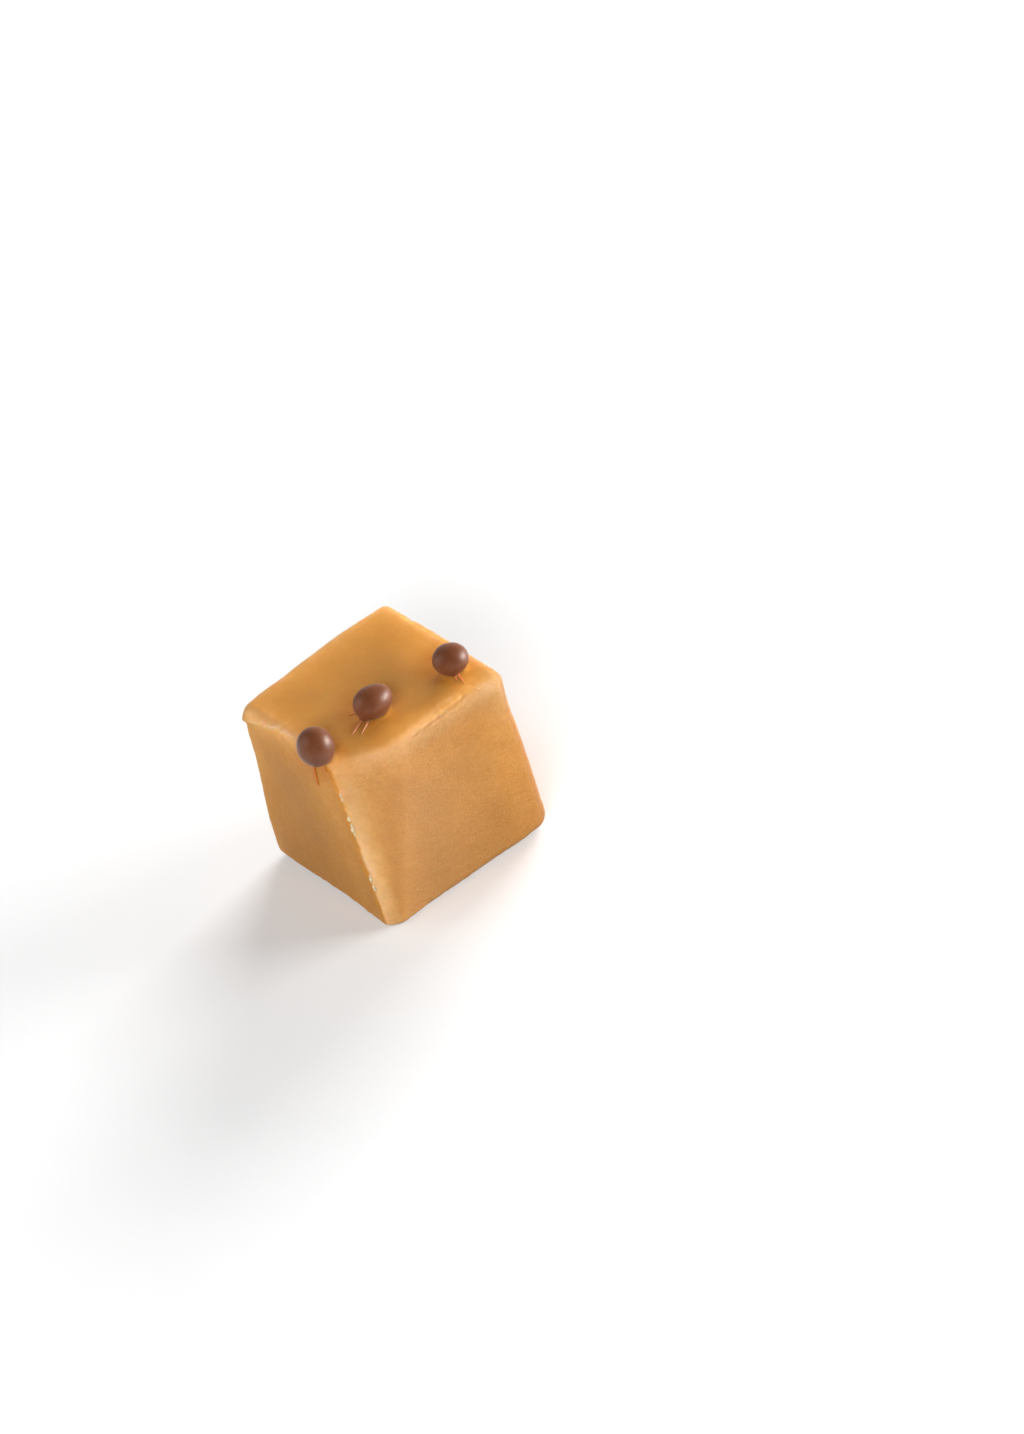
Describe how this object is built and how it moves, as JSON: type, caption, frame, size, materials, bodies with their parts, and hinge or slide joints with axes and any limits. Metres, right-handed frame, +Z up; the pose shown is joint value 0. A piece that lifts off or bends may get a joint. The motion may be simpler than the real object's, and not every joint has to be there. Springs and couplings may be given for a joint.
{
  "type": "fudge cube",
  "caption": "Cube of caramel fudge with softly worn edges, a lipped top and a row of milk chocolate drops along one side of the top.",
  "frame": {"origin": "middle of the fudge block's flat base", "axes": "+Z up, +X along the row of drops, -Y the broad cut face in front of the row"},
  "size_m": [0.0301, 0.0278, 0.0316],
  "materials": {
    "caramel_fudge": "waxy, slightly see-through, fine sugar grain on the cut sides",
    "milk_chocolate": "satin"
  },
  "bodies": {
    "root": {"fudge": "caramel_fudge", "drop_left": "milk_chocolate", "drop_middle": "milk_chocolate", "drop_right": "milk_chocolate"}
  },
  "joints": []
}
